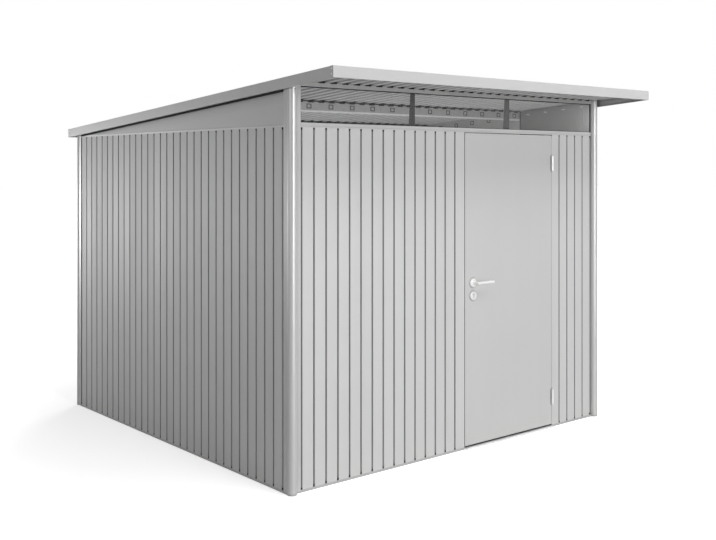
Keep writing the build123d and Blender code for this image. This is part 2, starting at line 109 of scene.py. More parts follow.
# The roof paint's reach paints shade into the rib channels on its underside.
roofLook = {
    "colour": 0.50, "rough": 0.42, "metal": 0.15, "grain": 0.04, "streak": 0.08,
    "bend": 0.0012, "foldShade": 0.9, "reach": 0.035,
}
zincLook = {
    "colour": 0.46, "warmth": 0.008, "rough": 0.48, "metal": 0.45, "spangle": 0.10, "size": 90.0,
}
finLook = {"colour": 0.07, "rough": 0.50, "grain": 0.12, "streak": 0.1}
sillLook = {"colour": 0.88, "rough": 0.34, "brush": 0.06, "metal": 0.3}
steelLook = {"colour": 0.93, "rough": 0.24, "brush": 0.05, "metal": 0.45}
lockLook = {"colour": 0.80, "rough": 0.30, "brush": 0.05, "metal": 0.8}
paneLook = {
    "rough": 0.03, "index": 1.46, "smear": 0.05, "mirror": 0.2, "haze": 0.02, "glare": 0.5,
    "noise": (1.5, 4.0), "stretch": (3, 3, 9), "tintSwing": 0.05, "tint": 0.9,
}
rubberLook = {
    "colour": 0.02, "rough": 0.7, "specular": 0.2,
    "noise": (400.0, 3.0), "toneSwing": 0.4, "tone": 0.8,
}
# The foot, fade and shade values paint shade onto the lower part of the dark sheet.
shadeSheetLook = {
    "colour": 0.145, "rough": 0.92, "warmth": 0.035, "foot": 1.88, "fade": 0.17, "shade": 0.35,
    "noise": (700.0, 4.0, 0.7), "toneSwing": 0.3, "tone": 0.85,
}
paintTexture = {
    "clouds": (2.2, 4.0),
    "flakes": (900.0, 2.0),
    "streaks": (1.0, 1.5),
    "streakStretch": (14, 14, 0.5),
    "peel": (260.0, 3.0),
    "sway": (3.0, 1.0),
    "swayStretch": (1, 1, 0.5),
    "streakRough": 0.15,
    "peelHeight": 0.02,
    "swayHeight": 0.3,
}
brushTexture = {
    "lines": (1.0, 3.0),
    "stretch": (18, 1400, 1400),
    "marks": (30.0, 4.0),
    "markRough": 0.12,
    "warmth": 0.004,
}
dustLook = {
    "noise": (16.0, 5.0, 0.65),
    "stretch": (1, 1, 0.6),
    "fall": 2.0,
    "paintTop": 0.22,
    "zincTop": 0.08,
    "colour": (0.56, 0.54, 0.51, 1.0),
    "share": 0.35,
    "paintRough": 0.3,
    "zincRough": 0.35,
}
foldShadeLook = {"sharpness": 2.2, "samples": 6}
relief = {
    "paint": (0.0009, 0.35),
    "zinc": (0.0002, 0.2, 0.0008),
    "brushed": (0.00003, 0.3, 0.0006),
    "fin": (0.0004, 0.3),
    "rubber": (0.0002, 0.3),
    "shadeSheet": (0.0006, 0.4),
}
bendSamples = 4
evenStretch = (1, 1, 1)
noiseMiddle = 0.5
overlap = 0.0001
weldDistance = 1e-6
roofSlope = -0.074
rivets = {
    "radius": 0.0048,
    "rim": 0.8,
    "sunk": 0.0006,
    "proud": 0.00002,
    "inset": 0.0155,
    "drops": (0.014, 0.040),
    "steps": 24,
}
roofScrews = {
    "washerRadius": 0.0085,
    "washerHeight": 0.0016,
    "headRadius": 0.0048,
    "headHeight": 0.0048,
    "everyRib": 3,
    "crest": 0.0136,
    "behindFace": 0.02,
    "washerLip": 0.3,
    "washerCrown": 0.7,
    "steps": 20,
    "sides": 6,
    "edge": 0.0004,
}
ribFillers = {
    "pitch": 0.08,
    "first": -1.222,
    "span": 1.2,
    "base": 0.0436,
    "crest": 0.0278,
    "height": 0.0128,
    "proud": 0.0014,
    "length": 0.022,
    "thickness": 0.001,
    "headerDroop": 0.0048,
    "purlinDroop": 0.013,
    "gap": 0.0003,
}
holeRims = {
    "outer": (0.034, 0.028),
    "inner": (0.025, 0.019),
    "plate": (0.0276, 0.0216),
    "plateDepth": 0.0008,
    "rise": 0.0022,
    "sunk": -0.4,
    "purlinCount": 15,
    "gableCount": 14,
    "purlinFirst": -1.175,
    "gableFirst": -1.016,
    "gableSheet": 0.001,
    "pitch": 0.1667,
    "drop": 0.034,
    "lowest": 1.91,
}
grooveEndShades = {
    "spans": {"front": (-1.191, 1.2065), "side": (-1.0505, 1.3445), "back": (-1.2, 1.2)},
    "doorClear": 0.02,
    "count": 30,
    "width": 0.0105,
    "depth": (0.0012, 0.0085),
    "height": 0.010,
}
gasket = {"top": 0.0055, "foot": 0.003, "end": 0.006, "proud": 0.002, "round": 0.0008}
coverShadowStrip = {"below": 0.010, "above": 0.014, "proud": 0.003}
purlinHighlightBead = {"height": 0.010, "depth": 0.004, "round": 0.0018}
purlinShadowStrip = {"height": 0.0075, "depth": 0.0014, "drop": 0.0003, "round": 0.0004}
# Sizes of the dark sheets that paint shade onto the gables' inner faces behind the window.
shadeSheet = {
    "front": -1.0975,
    "tongueEnd": -1.069,
    "tongue": (1.902, 2.088),
    "purlinGap": 0.012,
    "foot": 1.884,
    "roofGap": 0.004,
    "thickness": 0.002,
    "edge": 0.008,
    "edgeProud": 0.004,
    "slotFirst": -1.041,
    "slotPitch": 0.157,
    "slotCount": 4,
    "slotDrop": 0.036,
    "slotSize": (0.030, 0.0055),
}
seal = {
    "gap": 0.005,
    "hinge": 0.096,
    "hingeWidth": 0.0042,
    "hingeDepth": 0.008,
    "inset": 0.0004,
    "sweepRise": 0.0046,
    "sweepDepth": (-0.0007, 0.0060),
    "sweepLap": 0.0026,
    "edgeRise": 0.0036,
    "edgeDepth": 0.026,
    "edgeRound": 0.0004,
    "stopDepth": 0.037,
    "stopRise": 0.0032,
    "stopSpan": (0.002, 0.010),
    "stopFoot": 0.02,
    "stopHead": 0.002,
    "endGap": 0.003,
    "edgeGap": 0.004,
    "round": 0.0012,
}

print("stage: camera")
cameraData = bpy.data.cameras.new("photoCamera")
cameraData.lens = view["lens"]
cameraData.sensor_width = view["sensor"]
cameraData.sensor_fit = "HORIZONTAL"
cameraData.shift_y = -view["shiftDown"]
cameraData.clip_end = view["far"]
camera = bpy.data.objects.new("photoCamera", cameraData)
camera.location = view["place"]
camera.rotation_euler = (math.radians(view["tiltDeg"]), 0.0, math.radians(view["turnDeg"]))
bpy.context.scene.collection.objects.link(camera)
bpy.context.scene.camera = camera
bpy.context.scene.view_settings.view_transform = "Standard"

print("stage: shading groups")


def newGroup(name, inputs, outputs):
    tree = bpy.data.node_groups.new(name, "ShaderNodeTree")
    kind = "NodeSocketFloat"
    for label, value in inputs.items():
        socket = tree.interface.new_socket(name=label, in_out="INPUT", socket_type=kind)
        socket.default_value = value
    for label in outputs:
        tree.interface.new_socket(name=label, in_out="OUTPUT", socket_type=kind)
    return tree, tree.nodes.new("NodeGroupInput"), tree.nodes.new("NodeGroupOutput")


def mathNode(tree, operation, first, second, clamp=False):
    # Each operand is a number or an output socket.
    node = tree.nodes.new("ShaderNodeMath")
    node.operation = operation
    node.use_clamp = clamp
    for socket, value in zip(node.inputs, (first, second)):
        if isinstance(value, (int, float)):
            socket.default_value = value
        else:
            tree.links.new(value, socket)
    return node.outputs[0]


def noiseNode(tree, vector, scale, detail, rough=0.5):
    node = tree.nodes.new("ShaderNodeTexNoise")
    node.inputs["Detail"].default_value = detail
    node.inputs["Roughness"].default_value = rough
    node.inputs["Scale"].default_value = scale
    tree.links.new(vector, node.inputs["Vector"])
    return node.outputs["Fac"]


def stretched(tree, scale):
    coords = tree.nodes.new("ShaderNodeTexCoord")
    mapping = tree.nodes.new("ShaderNodeMapping")
    mapping.inputs["Scale"].default_value = scale
    tree.links.new(coords.outputs["Object"], mapping.inputs["Vector"])
    return mapping.outputs["Vector"]


def swing(tree, noise, amount):
    # The noise as a swing of the given amount round zero.
    return mathNode(tree, "MULTIPLY", mathNode(tree, "SUBTRACT", noise, noiseMiddle), amount)


def makePaintGrain():
    # Tone near one with clouds, flakes and streaks, a roughness offset and an orange-peel height.
    inputs = {"Amount": 0.03, "Streak": 0.05}
    tree, given, result = newGroup("paintGrain", inputs, ("Tone", "Rough", "Height"))
    even = stretched(tree, evenStretch)
    clouds = noiseNode(tree, even, *paintTexture["clouds"])
    flakes = noiseNode(tree, even, *paintTexture["flakes"])
    peel = noiseNode(tree, even, *paintTexture["peel"])
    upright = stretched(tree, paintTexture["streakStretch"])
    streaks = noiseNode(tree, upright, *paintTexture["streaks"])
    sway = noiseNode(tree, stretched(tree, paintTexture["swayStretch"]), *paintTexture["sway"])
    cloudPart = swing(tree, clouds, given.outputs["Amount"])
    flakePart = swing(tree, flakes, given.outputs["Amount"])
    streakPart = swing(tree, streaks, given.outputs["Streak"])
    tone = mathNode(tree, "ADD", mathNode(tree, "ADD", cloudPart, flakePart), streakPart)
    tree.links.new(mathNode(tree, "ADD", tone, 1.0), result.inputs["Tone"])
    rough = swing(tree, streaks, paintTexture["streakRough"])
    tree.links.new(rough, result.inputs["Rough"])
    peelPart = mathNode(tree, "MULTIPLY", peel, paintTexture["peelHeight"])
    swayPart = mathNode(tree, "MULTIPLY", sway, paintTexture["swayHeight"])
    height = mathNode(tree, "ADD", peelPart, swayPart)
    tree.links.new(height, result.inputs["Height"])
    return tree


def makeGroundDust():
    # A mask of splashed dust that fades out over the given height above the ground.
    tree, given, result = newGroup("groundDust", {"Top": 0.25}, ("Mask",))
    coords = tree.nodes.new("ShaderNodeTexCoord")
    split = tree.nodes.new("ShaderNodeSeparateXYZ")
    tree.links.new(coords.outputs["Object"], split.inputs["Vector"])
    level = mathNode(tree, "DIVIDE", split.outputs["Z"], given.outputs["Top"], clamp=True)
    fade = mathNode(tree, "POWER", mathNode(tree, "SUBTRACT", 1.0, level), dustLook["fall"])
    patches = noiseNode(tree, stretched(tree, dustLook["stretch"]), *dustLook["noise"])
    tree.links.new(mathNode(tree, "MULTIPLY", fade, patches, clamp=True), result.inputs["Mask"])
    return tree


def makePaintedFoldShade():
    # A mask of painted shade for the insides of folds, from how closed in the surface is.
    inputs = {"Reach": 0.014, "Sharpness": 2.0}
    tree, given, result = newGroup("paintedFoldShade", inputs, ("Mask",))
    foldShade = tree.nodes.new("ShaderNodeAmbientOcclusion")
    foldShade.samples = foldShadeLook["samples"]
    tree.links.new(given.outputs["Reach"], foldShade.inputs["Distance"])
    openShare = mathNode(tree, "POWER", foldShade.outputs["AO"], given.outputs["Sharpness"])
    tree.links.new(mathNode(tree, "SUBTRACT", 1.0, openShare, clamp=True), result.inputs["Mask"])
    return tree


def makeSpangle():
    # The crystal pattern of a zinc coat: a tone per crystal and a small height.
    inputs = {"Size": 90.0, "Amount": 0.1}
    tree, given, result = newGroup("zincSpangle", inputs, ("Tone", "Height"))
    cells = tree.nodes.new("ShaderNodeTexVoronoi")
    tree.links.new(stretched(tree, evenStretch), cells.inputs["Vector"])
    tree.links.new(given.outputs["Size"], cells.inputs["Scale"])
    shade = tree.nodes.new("ShaderNodeSeparateColor")
    tree.links.new(cells.outputs["Color"], shade.inputs["Color"])
    part = swing(tree, shade.outputs["Red"], given.outputs["Amount"])
    tone = mathNode(tree, "ADD", part, 1.0)
    tree.links.new(tone, result.inputs["Tone"])
    tree.links.new(shade.outputs["Green"], result.inputs["Height"])
    return tree


def makeBrushedLines():
    # Fine lines along X, for drawn and satin-brushed metal.
    tree, given, result = newGroup("brushedLines", {"Amount": 0.05}, ("Tone", "Height"))
    lines = noiseNode(tree, stretched(tree, brushTexture["stretch"]), *brushTexture["lines"])
    tone = mathNode(tree, "ADD", swing(tree, lines, given.outputs["Amount"]), 1.0)
    tree.links.new(tone, result.inputs["Tone"])
    tree.links.new(lines, result.inputs["Height"])
    return tree


paintGrain = makePaintGrain()
groundDust = makeGroundDust()
paintedFoldShade = makePaintedFoldShade()
zincSpangle = makeSpangle()
brushedLines = makeBrushedLines()

print("stage: materials")


def newMaterial(name):
    material = bpy.data.materials.new(name)
    material.use_nodes = True
    return material, material.node_tree, material.node_tree.nodes["Principled BSDF"]


def groupNode(tree, group, **values):
    node = tree.nodes.new("ShaderNodeGroup")
    node.node_tree = group
    for label, value in values.items():
        node.inputs[label].default_value = value
    return node


def greyFrom(tree, tone, grey, warmth=0.0):
    colour = tree.nodes.new("ShaderNodeCombineColor")
    for channel, share in (("Red", 1.0 + warmth), ("Green", 1.0), ("Blue", 1.0 - warmth)):
        tree.links.new(mathNode(tree, "MULTIPLY", tone, grey * share), colour.inputs[channel])
    return colour.outputs["Color"]


def addRelief(tree, shader, height, distance, strength, bend=0.0):
    bump = tree.nodes.new("ShaderNodeBump")
    bump.inputs["Distance"].default_value = distance
    bump.inputs["Strength"].default_value = strength
    tree.links.new(height, bump.inputs["Height"])
    if bend > 0.0:
        corner = tree.nodes.new("ShaderNodeBevel")
        corner.samples = bendSamples
        corner.inputs["Radius"].default_value = bend
        tree.links.new(corner.outputs["Normal"], bump.inputs["Normal"])
    tree.links.new(bump.outputs["Normal"], shader.inputs["Normal"])


def paintedSheet(name, look):
    material, tree, shader = newMaterial(name)
    grain = groupNode(tree, paintGrain, Amount=look["grain"], Streak=look["streak"])
    dust = groupNode(tree, groundDust, Top=dustLook["paintTop"])
    # Painted shade: the colour is darkened where the surface is closed in, in folds, grooves, rib
    # channels and under the covers.
    foldShade = groupNode(tree, paintedFoldShade, Reach=look["reach"], Sharpness=foldShadeLook["sharpness"])
    closed = mathNode(tree, "MULTIPLY", foldShade.outputs["Mask"], look["foldShade"])
    shade = mathNode(tree, "SUBTRACT", 1.0, closed)
    tone = mathNode(tree, "MULTIPLY", grain.outputs["Tone"], shade)
    colour = greyFrom(tree, tone, look["colour"])
    mix = tree.nodes.new("ShaderNodeMix")
    mix.data_type = "RGBA"
    mix.inputs["B"].default_value = dustLook["colour"]
    share = mathNode(tree, "MULTIPLY", dust.outputs["Mask"], dustLook["share"])
    tree.links.new(share, mix.inputs["Factor"])
    tree.links.new(colour, mix.inputs["A"])
    tree.links.new(mix.outputs["Result"], shader.inputs["Base Color"])
    rough = mathNode(tree, "ADD", grain.outputs["Rough"], look["rough"], clamp=True)
    dusty = mathNode(tree, "MULTIPLY", dust.outputs["Mask"], dustLook["paintRough"])
    tree.links.new(mathNode(tree, "ADD", rough, dusty), shader.inputs["Roughness"])
    shader.inputs["Metallic"].default_value = look["metal"]
    addRelief(tree, shader, grain.outputs["Height"], *relief["paint"], look["bend"])
    return material


def zincSheet(name, look):
    material, tree, shader = newMaterial(name)
    spangle = groupNode(tree, zincSpangle, Size=look["size"], Amount=look["spangle"])
    dust = groupNode(tree, groundDust, Top=dustLook["zincTop"])
    colour = greyFrom(tree, spangle.outputs["Tone"], look["colour"], look["warmth"])
    tree.links.new(colour, shader.inputs["Base Color"])
    dusty = mathNode(tree, "MULTIPLY", dust.outputs["Mask"], dustLook["zincRough"])
    rough = mathNode(tree, "ADD", dusty, look["rough"], clamp=True)
    tree.links.new(rough, shader.inputs["Roughness"])
    shader.inputs["Metallic"].default_value = look["metal"]
    addRelief(tree, shader, spangle.outputs["Height"], *relief["zinc"])
    return material


def brushedMetal(name, look):
    material, tree, shader = newMaterial(name)
    lines = groupNode(tree, brushedLines, Amount=look["brush"])
    colour = greyFrom(tree, lines.outputs["Tone"], look["colour"], brushTexture["warmth"])
    tree.links.new(colour, shader.inputs["Base Color"])
    marks = noiseNode(tree, stretched(tree, evenStretch), *brushTexture["marks"])
    marked = mathNode(tree, "MULTIPLY", marks, brushTexture["markRough"])
    rough = mathNode(tree, "ADD", marked, look["rough"], clamp=True)
    tree.links.new(rough, shader.inputs["Roughness"])
    shader.inputs["Metallic"].default_value = look["metal"]
    addRelief(tree, shader, lines.outputs["Height"], *relief["brushed"])
    return material


def darkPaint(name, look):
    material, tree, shader = newMaterial(name)
    grain = groupNode(tree, paintGrain, Amount=look["grain"], Streak=look["streak"])
    colour = greyFrom(tree, grain.outputs["Tone"], look["colour"])
    tree.links.new(colour, shader.inputs["Base Color"])
    rough = mathNode(tree, "ADD", grain.outputs["Rough"], look["rough"], clamp=True)
    tree.links.new(rough, shader.inputs["Roughness"])
    addRelief(tree, shader, grain.outputs["Height"], *relief["fin"])
    return material


def clearPane(name, look):
    material, tree, shader = newMaterial(name)
    smear = noiseNode(tree, stretched(tree, look["stretch"]), *look["noise"])
    smeared = mathNode(tree, "MULTIPLY", smear, look["smear"])
    rough = mathNode(tree, "ADD", smeared, look["rough"], clamp=True)
    tree.links.new(rough, shader.inputs["Roughness"])
    tinted = mathNode(tree, "MULTIPLY", smear, look["tintSwing"])
    tone = mathNode(tree, "ADD", tinted, look["tint"])
    tree.links.new(greyFrom(tree, tone, 1.0), shader.inputs["Base Color"])
    shader.inputs["IOR"].default_value = look["index"]
    facing = tree.nodes.new("ShaderNodeLayerWeight")
    facing.inputs["Blend"].default_value = look["mirror"]
    glare = mathNode(tree, "MULTIPLY", facing.outputs["Fresnel"], look["glare"])
    alpha = mathNode(tree, "ADD", glare, look["haze"], clamp=True)
    tree.links.new(alpha, shader.inputs["Alpha"])
    return material


def rubber(name, look):
    material, tree, shader = newMaterial(name)
    grain = noiseNode(tree, stretched(tree, evenStretch), *look["noise"])
    tone = mathNode(tree, "ADD", mathNode(tree, "MULTIPLY", grain, look["toneSwing"]), look["tone"])
    tree.links.new(greyFrom(tree, tone, look["colour"]), shader.inputs["Base Color"])
    shader.inputs["Roughness"].default_value = look["rough"]
    shader.inputs["Specular IOR Level"].default_value = look["specular"]
    addRelief(tree, shader, grain, *relief["rubber"])
    return material


def shadeSheetMaterial(name, look):
    material, tree, shader = newMaterial(name)
    fibres = noiseNode(tree, stretched(tree, evenStretch), *look["noise"])
    coords = tree.nodes.new("ShaderNodeTexCoord")
    split = tree.nodes.new("ShaderNodeSeparateXYZ")
    tree.links.new(coords.outputs["Object"], split.inputs["Vector"])
    # Painted shade: the colour darkens towards the foot of the sheet.
    rise = mathNode(tree, "SUBTRACT", split.outputs["Z"], look["foot"])
    level = mathNode(tree, "DIVIDE", rise, look["fade"], clamp=True)
    lit = mathNode(tree, "MULTIPLY", level, look["shade"])
    shade = mathNode(tree, "ADD", lit, 1.0 - look["shade"])
    speckle = mathNode(tree, "MULTIPLY", fibres, look["toneSwing"])
    tone = mathNode(tree, "MULTIPLY", shade, mathNode(tree, "ADD", speckle, look["tone"]))
    colour = greyFrom(tree, tone, look["colour"], look["warmth"])
    tree.links.new(colour, shader.inputs["Base Color"])
    shader.inputs["Roughness"].default_value = look["rough"]
    addRelief(tree, shader, fibres, *relief["shadeSheet"])
    return material


looks = {
    "wall_paint": paintedSheet("wallPaint", wallLook),
    "gable_paint": paintedSheet("gablePaint", gableLook),
    "door_paint": paintedSheet("doorPaint", doorLook),
    "trim_paint": paintedSheet("trimPaint", trimLook),
    "roof_paint": paintedSheet("roofPaint", roofLook),
    "frame_zinc": zincSheet("frameZinc", zincLook),
    "fin_paint": darkPaint("finPaint", finLook),
    "sill_metal": brushedMetal("sillMetal", sillLook),
    "pane_clear": clearPane("paneClear", paneLook),
    "handle_steel": brushedMetal("handleSteel", steelLook),
    "lock_metal": brushedMetal("lockMetal", lockLook),
}
# Black rubber for the seals and gaskets; the same black also makes the dark strips and blocks that
# are painted shade.
rubberAndPaintedShade = rubber("rubberAndPaintedShade", rubberLook)
# The dark sheet material paints shade onto the gables behind the window.
paintedShadeSheet = shadeSheetMaterial("paintedShadeSheet", shadeSheetLook)
slotOf = {part["node"]: part["material_slot"] for part in frame["record"]["subparts"]}
slotOf["door_leaf"] = "door_paint"
for side in ("left", "right"):
    slotOf["gable_" + side] = "gable_paint"
for name, node in nodes.items():
    node.data.materials.clear()
    node.data.materials.append(looks[slotOf[name]])

print("stage: fixings")
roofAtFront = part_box("header_front")[1].z
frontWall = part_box("header_front")[0].y
frontLow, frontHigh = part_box("fascia_front")
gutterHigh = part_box("gutter_back")[1]


def roofFace(y):
    # The low side of the roof sheet over a line across the shed.
    return roofAtFront + roofSlope * (y - frontWall)


def coverLevel(y):
    # The top edge of the side covers.
    return frontHigh.z + roofSlope * (y - frontLow.y)


def newPiece(name, mesh, body, material):
    bmesh.ops.recalc_face_normals(mesh, faces=mesh.faces)
    data = bpy.data.meshes.new(name)
    mesh.to_mesh(data)
    mesh.free()
    data.materials.append(material)
    piece = bpy.data.objects.new(name, data)
    bpy.context.scene.collection.objects.link(piece)
    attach(piece, body)


def turned(profile, steps):
    # A closed lathe round Z from points (radius, height); its ends lie on the axis.
    mesh = bmesh.new()
    points = [mesh.verts.new((radius, 0.0, height)) for radius, height in profile]
    edges = [mesh.edges.new(pair) for pair in zip(points, points[1:])]
    bmesh.ops.spin(
        mesh, geom=points + edges, cent=(0, 0, 0), axis=(0, 0, 1), angle=math.tau,
        steps=steps, use_merge=True,
    )
    bmesh.ops.remove_doubles(mesh, verts=mesh.verts, dist=weldDistance)
    return mesh


def placed(template, places):
    # Copies of the template with its Z turned to each place's direction.
    data = bpy.data.meshes.new("template")
    template.to_mesh(data)
    template.free()
    mesh = bmesh.new()
    for point, direction in places:
        start = len(mesh.verts)
        mesh.from_mesh(data)
        mesh.verts.ensure_lookup_table()
        turn = Vector((0, 0, 1)).rotation_difference(Vector(direction)).to_matrix().to_4x4()
        fresh = mesh.verts[start:]
        bmesh.ops.transform(mesh, matrix=Matrix.Translation(point) @ turn, verts=fresh)
    bpy.data.meshes.remove(data)
    return mesh


def pushedOut(mesh, corners, shift):
    # A closed plate: one face pushed out by the shift.
    face = mesh.faces.new([mesh.verts.new(corner) for corner in corners])
    grown = bmesh.ops.extrude_face_region(mesh, geom=[face])
    ends = [item for item in grown["geom"] if isinstance(item, bmesh.types.BMVert)]
    bmesh.ops.translate(mesh, verts=ends, vec=shift)


def block(mesh, size, middle):
    made = bmesh.ops.create_cube(mesh, size=1.0)["verts"]
    bmesh.ops.scale(mesh, vec=size, verts=made)
    bmesh.ops.translate(mesh, vec=middle, verts=made)
    return made


def squareAt(centre, along, up, size):
    wide, high = size[0] / 2, size[1] / 2
    corners = ((-wide, -high), (wide, -high), (wide, high), (-wide, high))
    return [centre + along * across + up * rise for across, rise in corners]


def squareRim(mesh, centre, along, up, outward):
    # A raised frame round a punched hole: four square loops, bridged in turn.
    loops = []
    steps = (("outer", 0.0), ("outer", 1.0), ("inner", 1.0), ("inner", holeRims["sunk"]))
    for key, rise in steps:
        level = centre + outward * (rise * holeRims["rise"])
        loops.append([mesh.verts.new(spot) for spot in squareAt(level, along, up, holeRims[key])])
    for lower, upper in zip(loops, loops[1:] + loops[:1]):
        for index in range(4):
            after = (index + 1) % 4
            mesh.faces.new((lower[index], lower[after], upper[after], upper[index]))


def punchedHole(rims, plates, centre, along, outward):
    # A rim and, just behind it, the knock-out plate left in the hole.
    up = Vector((0, 0, 1))
    squareRim(rims, centre, along, up, outward)
    corners = squareAt(centre, along, up, holeRims["plate"])
    pushedOut(plates, corners, outward * -holeRims["plateDepth"])


def addRims():
    rims, plates = bmesh.new(), bmesh.new()
    for name in ("purlin_front", "purlin_rear"):
        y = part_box(name)[0].y
        level = roofFace(y) - holeRims["drop"]
        for number in range(holeRims["purlinCount"]):
            centre = Vector((holeRims["purlinFirst"] + number * holeRims["pitch"], y, level))
            punchedHole(rims, plates, centre, Vector((1, 0, 0)), Vector((0, -1, 0)))
    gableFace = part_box("gable_inner_right")[1].x - holeRims["gableSheet"]
    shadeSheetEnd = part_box("purlin_front")[0].y
    for sign in (-1, 1):
        for number in range(holeRims["gableCount"]):
            y = holeRims["gableFirst"] + number * holeRims["pitch"]
            level = roofFace(y) - holeRims["drop"]
            if y > shadeSheetEnd and level > holeRims["lowest"]:
                centre = Vector((sign * gableFace, y, level))
                punchedHole(rims, plates, centre, Vector((0, 1, 0)), Vector((-sign, 0, 0)))
    newPiece("hole_rims", rims, "shed", rubberAndPaintedShade)
    newPiece("knock_outs", plates, "shed", looks["frame_zinc"])


addRims()


def rivetTemplate():
    # A flush, countersunk head, so that it stays in line with the cover's face.
    radius = rivets["radius"]
    profile = [(0.0, -rivets["sunk"]), (radius * rivets["rim"], -rivets["sunk"]), (radius, 0.0)]
    profile += [(radius * rivets["rim"], rivets["proud"]), (0.0, rivets["proud"])]
    return turned(profile, rivets["steps"])


def rivetPlaces():
    places = []
    for sign in (-1, 1):
        for end, inward in ((frontLow.y, 1), (gutterHigh.y, -1)):
            for drop in rivets["drops"]:
                y = end + inward * rivets["inset"]
                point = Vector((sign * frontHigh.x, y, coverLevel(end) - drop))
                places.append((point, (sign, 0, 0)))
    return places


rivetMesh = placed(rivetTemplate(), rivetPlaces())
newPiece("cover_rivets", rivetMesh, "shed", looks["handle_steel"])


def ribPlaces():
    count = round(2 * -ribFillers["first"] / ribFillers["pitch"]) + 1
    return [ribFillers["first"] + number * ribFillers["pitch"] for number in range(count)]


def addFillers():
    # A dark foam block in each rib's hollow over the header and the purlins, with a hanging lip;
    # the hanging lips are painted shade below the rib openings.
    mesh = bmesh.new()
    droops = {
        "header_front": "headerDroop", "purlin_front": "purlinDroop", "purlin_rear": "purlinDroop",
    }
    gap, thickness = ribFillers["gap"], ribFillers["thickness"]
    for support, key in droops.items():
        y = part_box(support)[0].y - ribFillers["proud"]
        droop = ribFillers[key]
        for x in ribPlaces():
            if abs(x) > ribFillers["span"]:
                continue
            section = [
                (x - ribFillers["base"] / 2, gap),
                (x + ribFillers["base"] / 2, gap),
                (x + ribFillers["crest"] / 2, ribFillers["height"]),
                (x - ribFillers["crest"] / 2, ribFillers["height"]),
            ]
            corners = [(across, y, roofFace(y) + rise) for across, rise in section]
            pushedOut(mesh, corners, (0, ribFillers["length"], roofSlope * ribFillers["length"]))
            middle = (x, y + thickness / 2, roofFace(y) - droop / 2 + gap)
            block(mesh, (ribFillers["base"], thickness, droop), middle)
    newPiece("rib_fillers", mesh, "shed", rubberAndPaintedShade)


addFillers()


def screwTemplate():
    # A hexagonal head on a domed washer.
    radius, rise = roofScrews["washerRadius"], roofScrews["washerHeight"]
    lip, crown = rise * roofScrews["washerLip"], radius * roofScrews["washerCrown"]
    profile = [(0.0, 0.0), (radius, 0.0), (radius, lip), (crown, rise), (0.0, rise)]
    mesh = turned(profile, roofScrews["steps"])
    head, height = roofScrews["headRadius"], roofScrews["headHeight"]
    made = bmesh.ops.create_cone(
        mesh, cap_ends=True, segments=roofScrews["sides"], radius1=head, radius2=head,
        depth=height, matrix=Matrix.Translation((0, 0, rise + height / 2)),
    )["verts"]
    edges = sorted({edge for vert in made for edge in vert.link_edges}, key=lambda edge: edge.index)
    bmesh.ops.bevel(
        mesh, geom=edges, offset=roofScrews["edge"], offset_type="OFFSET", segments=1,
        profile=0.5, affect="EDGES", material=-1,
    )
    return mesh


def screwPlaces():
    places = []
    upward = Vector((0.0, -roofSlope, 1.0)).normalized()
    for support in ("header_front", "purlin_front", "purlin_rear", "header_back"):
        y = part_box(support)[0].y + roofScrews["behindFace"]
        for x in ribPlaces()[1::roofScrews["everyRib"]]:
            places.append((Vector((x, y, roofFace(y) + roofScrews["crest"])), upward))
    return places


screwMesh = placed(screwTemplate(), screwPlaces())
newPiece("roof_screws", screwMesh, "shed", looks["lock_metal"])


def slopedPlate(mesh, nearX, farX, outline):
    # A plate across X from an outline of (y, z) points.
    pushedOut(mesh, [(nearX, y, z) for y, z in outline], (farX - nearX, 0, 0))


def addCoverShadowStrips():
    # Dark strips on both gables, tucked under the feet of the side covers: painted shadow under the
    # covers.
    mesh = bmesh.new()
    gableLow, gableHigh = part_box("gable_right")
    foot = frontLow.z - frontHigh.z
    front, rear = gableLow.y, gableHigh.y
    outline = [
        (front, coverLevel(front) + foot - coverShadowStrip["below"]),
        (rear, coverLevel(rear) + foot - coverShadowStrip["below"]),
        (rear, coverLevel(rear) + foot + coverShadowStrip["above"]),
        (front, coverLevel(front) + foot + coverShadowStrip["above"]),
    ]
    near, far = gableHigh.x - overlap, gableHigh.x + coverShadowStrip["proud"]
    for sign in (-1, 1):
        slopedPlate(mesh, sign * near, sign * far, outline)
    newPiece("cover_shadow_strips", mesh, "shed", rubberAndPaintedShade)


